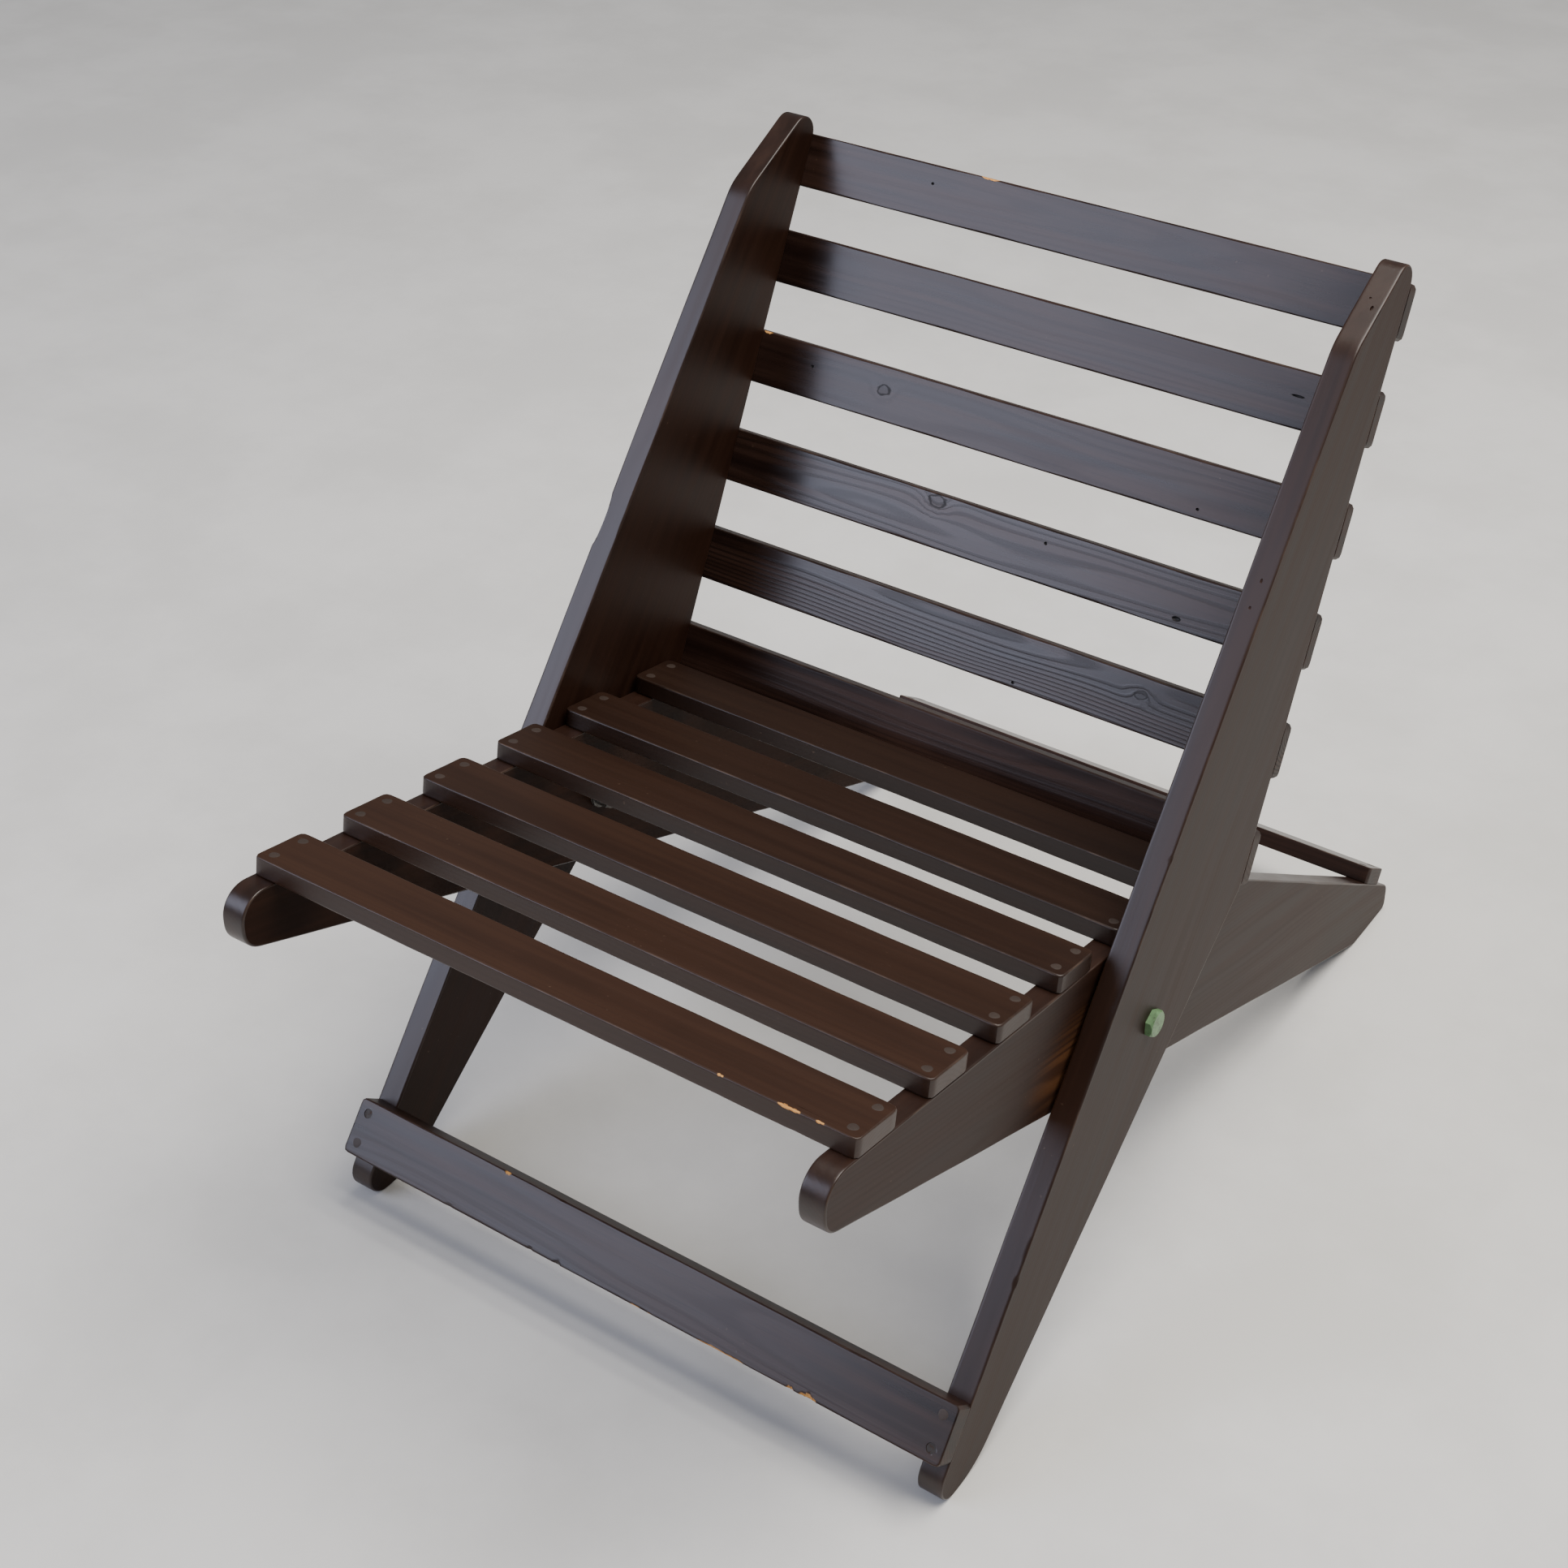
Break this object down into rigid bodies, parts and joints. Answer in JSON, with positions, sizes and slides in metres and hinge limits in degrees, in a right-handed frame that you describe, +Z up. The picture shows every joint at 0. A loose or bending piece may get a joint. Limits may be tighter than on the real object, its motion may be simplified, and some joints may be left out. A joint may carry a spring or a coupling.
{
  "type": "folding slatted chair",
  "caption": "Low folding lounge chair of dark stained wood: a slatted back frame and a slatted seat frame cross on a pair of pivot bolts.",
  "frame": {"origin": "on the floor, under the centre of the open chair's bounding box", "axes": "+Z up, the sitter faces -Y, +X to the sitter's left; the pivot line runs along X"},
  "size_m": [0.531, 0.86, 0.6794],
  "materials": {
    "frame_wood": "dark brown stained and varnished pine, semi-gloss",
    "slat_wood": "dark brown stained and varnished pine, semi-gloss",
    "bolt_green": "pale green paint, worn, satin",
    "zinc_steel": "dull zinc",
    "screw_steel": "dull, under filler and stain"
  },
  "bodies": {
    "back_frame": {"stile_left": "frame_wood", "stile_right": "frame_wood", "back_slat_1": "slat_wood", "back_slat_2": "slat_wood", "back_slat_3": "slat_wood", "back_slat_4": "slat_wood", "back_slat_5": "slat_wood", "back_slat_6": "slat_wood", "front_cross_rail": "frame_wood", "back_slat_screws": "screw_steel", "front_rail_screws": "screw_steel", "pivot_bolts": "bolt_green", "spacer_washers": "zinc_steel", "nut_washers": "zinc_steel", "lock_nuts": "zinc_steel"},
    "seat_frame": {"seat_rail_left": "frame_wood", "seat_rail_right": "frame_wood", "seat_slat_1": "slat_wood", "seat_slat_2": "slat_wood", "seat_slat_3": "slat_wood", "seat_slat_4": "slat_wood", "seat_slat_5": "slat_wood", "seat_slat_6": "slat_wood", "rear_cross_rail": "slat_wood", "seat_slat_screws": "screw_steel", "rear_rail_screws": "screw_steel"}
  },
  "joints": [
    {"name": "fold_hinge", "type": "hinge", "parent": "back_frame", "child": "seat_frame", "pos_m": [0, -0.0708, 0.2306], "axis": [-1, 0, 0], "range_deg": [0, 109.9]}
  ]
}
